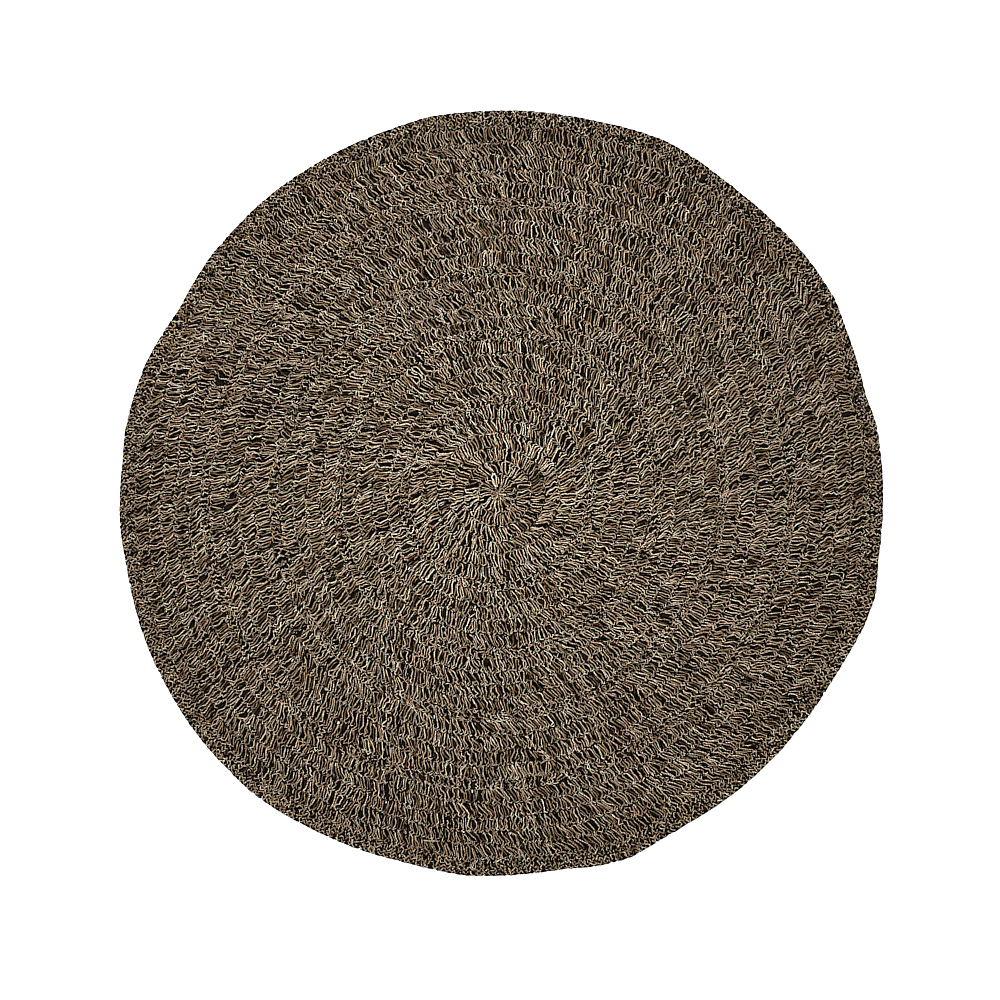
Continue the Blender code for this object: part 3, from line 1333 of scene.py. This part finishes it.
@dataclass(frozen=True)
class TwineFinish:
    """Twisted seagrass twine, undyed or dyed.

    Attributes:
        name: name of the material.
        middle_colour: colour at the rug's middle.
        shaded_rim_colour: colour toward its rim, darker with painted shade where the light falls off.
        border_shade: what is left of the colour's light in the border.
        warm_tint: tint of the warm patches.
        cool_tint: tint of the greenish stalks.
        dim_and_shaded_tint: tint of the stalks that are dim at random or in painted shade.
        speck_tint: tint of the small brown specks.
        darkening: how fast red, green and blue go where painted shade makes it dim.
        groove: light left in the grooves between the plies.
        flank: light left on the twine's flanks.
        roughness: least and greatest roughness.
        gloss: specular level.
        relief: height of the plies, in metres.
        hue_spread: how much each of red, green and blue differs from stalk to stalk.
        hue_size: size of a stalk of one hue, in metres.
        hue_detail: detail of the hues' noise.
        shaded_rim_span: shares of the radius between which the painted shade toward the rim sets in.
        warmth: how much of their tint the warm patches take.
        speck_span: values of the stalks' noise between which specks set in.
        cool_span: tones between which stalks turn greenish.
        coolness: how much of their tint these take.
        dim_and_shaded_span: tones between which stalks are dim at random or in painted shade.
        tone_light: light for each step of tone.
        least_light: light left on the dimmest twine.
        crest_span: places on its way from flank to top between which its light grows.
        ply_span: heights of the plies between which their light grows.
        fibre_span: values of the fibres' noise between which their light grows.
        fibre_light: least and greatest light on the fibres.
        border_span: shares of the border's width between which its shade sets in.
        rough_span: values of the fibres' noise between which roughness grows.
        strength: strength of the relief.
    """

    name: str
    middle_colour: Colour
    shaded_rim_colour: Colour
    border_shade: float
    warm_tint: Colour
    cool_tint: Colour
    dim_and_shaded_tint: Colour
    speck_tint: Colour
    darkening: Colour
    groove: float
    flank: float
    roughness: Pair
    gloss: float
    relief: float
    hue_spread: float
    hue_size: float = 0.0045
    hue_detail: float = 1.0
    shaded_rim_span: Pair = (0.0, 0.9)
    warmth: float = 0.8
    speck_span: Pair = (0.5, 0.9)
    cool_span: Pair = (0.4, 1.6)
    coolness: float = 0.8
    dim_and_shaded_span: Pair = (-2.4, -0.2)
    tone_light: float = 0.33
    least_light: float = 0.15
    crest_span: Pair = (0.40, 0.62)
    ply_span: Pair = (0.0, 0.9)
    fibre_span: Pair = (0.25, 0.75)
    fibre_light: Pair = (0.80, 1.10)
    border_span: Pair = (-0.2, 0.4)
    rough_span: Pair = (0.3, 0.7)
    strength: float = 0.8

    def grass(self, board: NodeBoard, outward: Feed, tone_and_shade: Feed) -> Socket:
        """Work out the grass's colour, with painted shade that darkens it toward the rim and tints its dim
        and shaded stalks.

        Args:
            board: nodes of the material.
            outward: share of the way from the rug's middle to its rim.
            tone_and_shade: tone of the twine, with its painted light and shade.

        Returns:
            The colour.
        """
        patches = board.group("grass patches")
        # Painted shade: the colour darkens from the rug's middle to its rim, where the light falls off.
        outward = board.eased(outward, self.shaded_rim_span)
        colour = board.mixed(outward, self.middle_colour, self.shaded_rim_colour)
        hues = board.noise(board.own_place(), 1 / self.hue_size, self.hue_detail)["Color"]
        spread = (self.hue_spread,) * 3
        least = (1 - self.hue_spread / 2,) * 3
        tints = (
            (board.times(patches["Patch"], self.warmth), self.warm_tint),
            (board.eased(patches["Stalk"], self.speck_span), self.speck_tint),
            (1.0, board.vector("MULTIPLY_ADD", hues, spread, least)[0]),
            (board.eased(tone_and_shade, self.cool_span, (0.0, self.coolness)), self.cool_tint),
            (board.eased(tone_and_shade, self.dim_and_shaded_span, (1.0, 0.0)), self.dim_and_shaded_tint),
        )
        for share, tint in tints:
            colour = board.mixed(share, colour, tint, "MULTIPLY")
        return colour

    def light(self, board: NodeBoard, twist: Sockets, border: Feed, tone_and_shade: Feed) -> Socket:
        """Work out how much light the twine has.

        Args:
            board: nodes of the material.
            twist: what the group of twisted plies gives.
            border: share of the way through the rug's border.
            tone_and_shade: tone of the twine, with its painted light and shade.

        Returns:
            The light, about one on the twine's top.
        """
        # Painted light and shade: the tone's light, then shade painted on the flanks, in the ply grooves and
        # in the border.
        light = board.reckon("MULTIPLY_ADD", tone_and_shade, self.tone_light, 1.0)
        light = board.reckon("MAXIMUM", light, self.least_light)
        shades = (
            board.eased(twist["Crest"], self.crest_span, (self.flank, 1.0)),
            board.eased(twist["Ply"], self.ply_span, (self.groove, 1.0)),
            board.eased(twist["Fibre"], self.fibre_span, self.fibre_light),
            board.eased(border, self.border_span, (1.0, self.border_shade)),
        )
        for shade in shades:
            light = board.times(light, shade)
        return light

    def material(self, plan: RugPlan) -> bpy.types.Material:
        """Make the material.

        Args:
            plan: gives the rug's middle and radius.

        Returns:
            The material.
        """
        material, board, shader = new_material(self.name)
        twist = board.group("twisted plies")
        feeds = {"Middle X": plan.middle[0], "Middle Y": plan.middle[1], "Radius": plan.radius}
        painted_falloff = board.group("painted light falloff to the rim", feeds)
        tone_and_shade = board.put("ShaderNodeAttribute", attribute_name="tone_and_shade").outputs["Fac"]
        light = self.light(board, twist, painted_falloff["Border"], tone_and_shade)
        # Painted shade turns warmer: green and blue fall faster than red as the painted light drops.
        parts = [board.reckon("POWER", light, power) for power in self.darkening]
        light = board.put("ShaderNodeCombineColor", dict(enumerate(parts))).outputs[0]
        colour = self.grass(board, painted_falloff["Outward"], tone_and_shade)
        surface = {
            # The painted light and shade is multiplied into the base colour.
            "Base Color": board.mixed(1.0, colour, light, "MULTIPLY"),
            "Roughness": board.eased(twist["Fibre"], self.rough_span, self.roughness),
            "Normal": board.bump(twist["Height"], self.relief, self.strength),
            "Specular IOR Level": self.gloss,
        }
        board.feed(shader, surface)
        return material


@dataclass(frozen=True)
class GroundFinish:
    """Matted grass inside the cloth, nearly black, partly as painted shade between the twines, with the lower
    twines on its underside.

    Attributes:
        name: name of the material.
        dark: colour of the matted grass, nearly black with painted shade between the twines.
        brown: colour of its strands.
        straw: colour of the natural twine below.
        roughness: least and greatest roughness.
        gloss: specular level.
        relief: height of its strands, in metres.
        strength: strength of the relief.
        patch_size: size of its patches.
        stalk_size: size of its strands.
        straw_shade: light left on the dimmest straw.
        twine_height: height of the twine below, in heights of a strand.
        round_width: width of the rounds below.
        stitch_width: width of a stitch below.
        lean: how far the stitches below lean, in stitches.
        sway: how far the twine below sways, in metres.
        sway_size: distance over which it sways.
        sway_detail: detail of the swaying.
        below: greatest rise of a normal that points down.
        wave_span: values of the stitches' wave between which the twine sets in.
        crest_span: values of the rounds' wave between which it grows lighter.
        crest_light: least and greatest light across a round.
    """

    name: str = "inner grass and shade"
    # Painted shade: nearly black, the matted grass also stands in for the shade deep between the twines.
    dark: Colour = (0.0040, 0.0030, 0.0023)
    brown: Colour = (0.014, 0.010, 0.007)
    straw: Colour = (0.36, 0.30, 0.22)
    roughness: Pair = (0.75, 0.95)
    gloss: float = 0.1
    relief: float = 0.0006
    strength: float = 0.7
    patch_size: float = 0.05
    stalk_size: float = 0.004
    straw_shade: float = 0.5
    twine_height: float = 3.0
    round_width: float = 0.0365
    stitch_width: float = 0.0141
    lean: float = 0.8
    sway: float = 0.013
    sway_size: float = 0.018
    sway_detail: float = 2.0
    below: float = -0.5
    wave_span: Pair = (-0.1, 0.7)
    crest_span: Pair = (0.0, 0.5)
    crest_light: Pair = (0.25, 1.0)

    def twine_below(self, board: NodeBoard, plan: RugPlan) -> Socket:
        """Work out where the natural twine shows on the underside.

        Args:
            board: nodes of the material.
            plan: where the rounds lie.

        Returns:
            About one on the crest of a natural twine of the underside, less where painted shade falls toward
            the rounds' edges, and nought elsewhere.
        """
        place = board.put("ShaderNodeTexCoord").outputs
        facing = board.put("ShaderNodeSeparateXYZ", {0: place["Normal"]}).outputs[2]
        noise = board.noise(place["Object"], 1 / self.sway_size, self.sway_detail)["Color"]
        start = tuple(-self.sway / 2 - middle for middle in plan.middle)
        spot = board.vector("MULTIPLY_ADD", place["Object"], LEVEL, (*start, 0.0))[0]
        spot = board.vector("MULTIPLY_ADD", noise, (self.sway, self.sway, 0.0), spot)[0]
        parts = board.put("ShaderNodeSeparateXYZ", {0: spot}).outputs
        turn = board.reckon("DIVIDE", board.reckon("ARCTAN2", parts[1], parts[0]), math.tau)
        rounds = board.reckon("DIVIDE", board.vector("LENGTH", spot)["Value"], self.round_width)
        across = board.reckon("FRACT", rounds)
        middle = board.reckon("ADD", board.reckon("FLOOR", rounds), 0.5)
        growth = math.tau * self.round_width / self.stitch_width
        count = board.reckon("ROUND", board.times(middle, growth))
        stitch = board.reckon("MULTIPLY_ADD", turn, count, board.times(across, self.lean))
        wave = board.eased(board.reckon("SINE", board.times(stitch, math.tau)), self.wave_span)
        # Painted shade: the twine below is darker toward the edges of each round.
        crest = board.reckon("SINE", board.times(across, math.pi))
        shown = board.times(wave, board.eased(crest, self.crest_span, self.crest_light))
        return board.times(shown, board.reckon("LESS_THAN", facing, self.below))

    def material(self, plan: RugPlan) -> bpy.types.Material:
        """Make the material.

        Args:
            plan: where the rounds lie.

        Returns:
            The material.
        """
        material, board, shader = new_material(self.name)
        feeds = {"Patch Size": self.patch_size, "Stalk Size": self.stalk_size}
        patches = board.group("grass patches", feeds)
        share = board.times(patches["Stalk"], patches["Patch"])
        twine = self.twine_below(board, plan)
        dim = tuple(self.straw_shade * part for part in self.straw)
        straw = board.mixed(patches["Stalk"], dim, self.straw)
        height = board.reckon("MULTIPLY_ADD", twine, self.twine_height, patches["Stalk"])
        surface = {
            "Base Color": board.mixed(twine, board.mixed(share, self.dark, self.brown), straw),
            "Roughness": board.eased(share, (0.0, 1.0), self.roughness),
            "Normal": board.bump(height, self.relief, self.strength),
            "Specular IOR Level": self.gloss,
        }
        board.feed(shader, surface)
        return material


@dataclass(frozen=True)
class FloorFinish:
    """Smooth pale floor that glows a little, as on a lit studio base.

    Attributes:
        name: name of the material.
        pale: its lightest colour.
        shade: its darkest colour.
        patches: patches in a metre.
        detail: detail of the patches.
        roughness: roughness.
        gloss: specular level.
        glow: colour of its glow.
        glow_strength: strength of its glow.
    """

    name: str = "pale floor"
    pale: Colour = (0.90, 0.905, 0.91)
    shade: Colour = (0.87, 0.875, 0.88)
    patches: float = 1.4
    detail: float = 2.0
    roughness: float = 0.85
    gloss: float = 0.2
    glow: Colour = (0.90, 0.95, 1.0)
    glow_strength: float = 0.12

    def material(self) -> bpy.types.Material:
        """Make the material.

        Returns:
            The material.
        """
        material, board, shader = new_material(self.name)
        noise = board.noise(board.own_place(), self.patches, self.detail)[0]
        surface = {
            "Base Color": board.mixed(noise, self.pale, self.shade),
            "Roughness": self.roughness,
            "Specular IOR Level": self.gloss,
            "Emission Color": (*self.glow, 1.0),
            "Emission Strength": self.glow_strength,
        }
        board.feed(shader, surface)
        return material


UNDYED = TwineFinish(
    name="undyed seagrass",
    middle_colour=(0.684, 0.615, 0.485),
    # Painted shade: darker toward the rim, where the light falls off.
    shaded_rim_colour=(0.544, 0.474, 0.370),
    border_shade=0.84,
    warm_tint=(1.0, 0.90, 0.84),
    cool_tint=(0.93, 1.0, 0.90),
    dim_and_shaded_tint=(1.0, 0.86, 0.72),
    speck_tint=(0.60, 0.40, 0.28),
    darkening=(1.0, 1.10, 1.33),
    groove=0.28,
    flank=0.15,
    roughness=(0.55, 0.80),
    gloss=0.25,
    relief=0.0006,
    hue_spread=0.8,
)
DYED = TwineFinish(
    name="black seagrass",
    middle_colour=(0.0048, 0.0037, 0.0030),
    # Painted shade: darker toward the rim, where the light falls off.
    shaded_rim_colour=(0.0042, 0.0032, 0.0026),
    border_shade=0.9,
    warm_tint=(1.0, 0.9, 0.8),
    cool_tint=(0.9, 0.95, 1.0),
    dim_and_shaded_tint=(1.0, 0.9, 0.8),
    speck_tint=(1.0, 0.9, 0.8),
    darkening=(1.0, 1.0, 1.0),
    groove=0.6,
    flank=0.6,
    roughness=(0.65, 0.90),
    gloss=0.05,
    relief=0.0006,
    hue_spread=1.8,
)


@dataclass
class Studio:
    """Floor, lights, camera and the photograph's crispness.

    Attributes:
        floor_side: side of the floor.
        lamp_side: side of the overhead soft light.
        lamp_place: where it hangs.
        lamp_power: its power, in watts.
        surround: strength of the light from all sides.
        lens: focal length, in millimetres.
        sensor: width of the sensor, in millimetres.
        crispness: share of the sharpening.
        gamma: gamma of the display, in which it is sharpened.
    """

    floor_side: float = 30.0
    lamp_side: float = 3.0
    lamp_place: tuple[float, float, float] = (-0.8, 0.9, 6.6)
    lamp_power: float = 560.0
    surround: float = 0.30
    lens: float = 85.0
    sensor: float = 36.0
    crispness: float = 0.105
    gamma: float = 2.2

    def lay_floor(self) -> None:
        """Lay the pale floor."""
        bpy.ops.mesh.primitive_plane_add(size=self.floor_side)
        floor = bpy.context.active_object
        floor.name = "floor"
        floor.data.materials.append(FloorFinish().material())

    def hang_lights(self) -> None:
        """Hang the overhead soft light and set the light from all sides."""
        world = bpy.data.worlds.new("studio")
        world.use_nodes = True
        glow = world.node_tree.nodes["Background"]
        NodeBoard(world.node_tree).feed(glow, {"Color": WHITE, "Strength": self.surround})
        bpy.context.scene.world = world
        light = bpy.data.lights.new("softbox", "AREA")
        light.shape = "SQUARE"
        light.size = self.lamp_side
        light.energy = self.lamp_power
        lamp = add_object("softbox", light)
        lamp.location = self.lamp_place
        lamp.rotation_euler = (-lamp.location).to_track_quat("-Z", "Y").to_euler()

    def set_camera(self) -> None:
        """Look straight down on the rug, in the photograph's frame."""
        camera = bpy.data.cameras.new("camera")
        camera.lens = self.lens
        camera.sensor_width = self.sensor
        view = add_object("camera", camera)
        down = (RUG_MIDDLE_PIXEL[1] - PHOTO_SIDE / 2) * METRES_PER_PIXEL
        aside = (PHOTO_SIDE / 2 - RUG_MIDDLE_PIXEL[0]) * METRES_PER_PIXEL
        view.location = (aside, down, PHOTO_SIDE * METRES_PER_PIXEL * self.lens / self.sensor)
        bpy.context.scene.camera = view

    def develop(self) -> None:
        """Show plain colours, sharpened lightly as the photograph is."""
        scene = bpy.context.scene
        scene.view_settings.view_transform = "Standard"
        scene.use_nodes = True
        scene.node_tree.nodes.clear()
        board = NodeBoard(scene.node_tree)
        image = board.put("CompositorNodeRLayers").outputs["Image"]
        display = board.put("CompositorNodeGamma", {"Image": image, "Gamma": 1 / self.gamma})
        feeds = {"Image": display.outputs["Image"], "Fac": self.crispness}
        crisp = board.put("CompositorNodeFilter", feeds, filter_type="SHARPEN")
        linear = board.put("CompositorNodeGamma", {"Image": crisp.outputs["Image"], "Gamma": self.gamma})
        board.put("CompositorNodeComposite", {"Image": linear.outputs["Image"]})

    def build(self) -> None:
        """Set up the whole studio."""
        self.lay_floor()
        self.hang_lights()
        self.set_camera()
        self.develop()


@dataclass
class Rug:
    """The whole rug.

    Attributes:
        plan: where the rounds lie.
        splits: rounds at which the natural twine's pieces end.
        flat: length and width of the cloth, laid flat; not used.
        area: its area; not used.
    """

    plan: RugPlan = field(default_factory=RugPlan)
    splits: tuple[int, ...] = (16, 22, 26)
    flat: Pair = (2.0, 2.0)
    area: float = 3.1

    def build(self) -> None:
        """Make and dress the rug's pieces."""
        gaps = Gaps(self.plan).all()
        EffectGroups.twist()
        EffectGroups.patches()
        EffectGroups.painted_falloff()
        # The ground is a dark sheet: matted grass, and painted shade between the twines.
        ground = Ground(self.plan, gaps).build()
        ground.data.materials.append(GroundFinish().material(self.plan))
        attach(ground, RUG_BODY)
        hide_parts(RUG_NODE)
        log.info("ground: %d faces", len(ground.data.polygons))
        twines = self.twines(CrochetWork(self.plan, gaps))

    def twines(self, work: CrochetWork) -> list[bpy.types.Object]:
        """Make and dress the pieces of twine.

        Args:
            work: makes the stitches.

        Returns:
            The pieces.
        """
        rows = work.rows()
        dressed = {Shade.NATURAL: UNDYED.material(self.plan), Shade.BLACK: DYED.material(self.plan)}
        ends = (*self.splits, len(rows))
        made: list[bpy.types.Object] = []
        for number, (start, end) in enumerate(zip((0, *self.splits), ends), 1):
            for shade, material in dressed.items():
                piece = work.work(f"{shade.value}_twine_{number}", shade, rows[start:end])
                piece.data.materials.append(material)
                made.append(piece)
        made.append(LooseEnds(self.plan).build())
        made[-1].data.materials.append(dressed[Shade.NATURAL])
        for piece in made:
            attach(piece, RUG_BODY)
            log.info("%s: %d faces", piece.name, len(piece.data.polygons))
        return made


def main() -> None:
    """Build the rug and the studio."""
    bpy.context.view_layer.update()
    rug = Rug()
    rug.build()
    Studio().build()


if __name__ == "__main__":
    logging.basicConfig(level=logging.INFO, format="%(message)s")
    main()
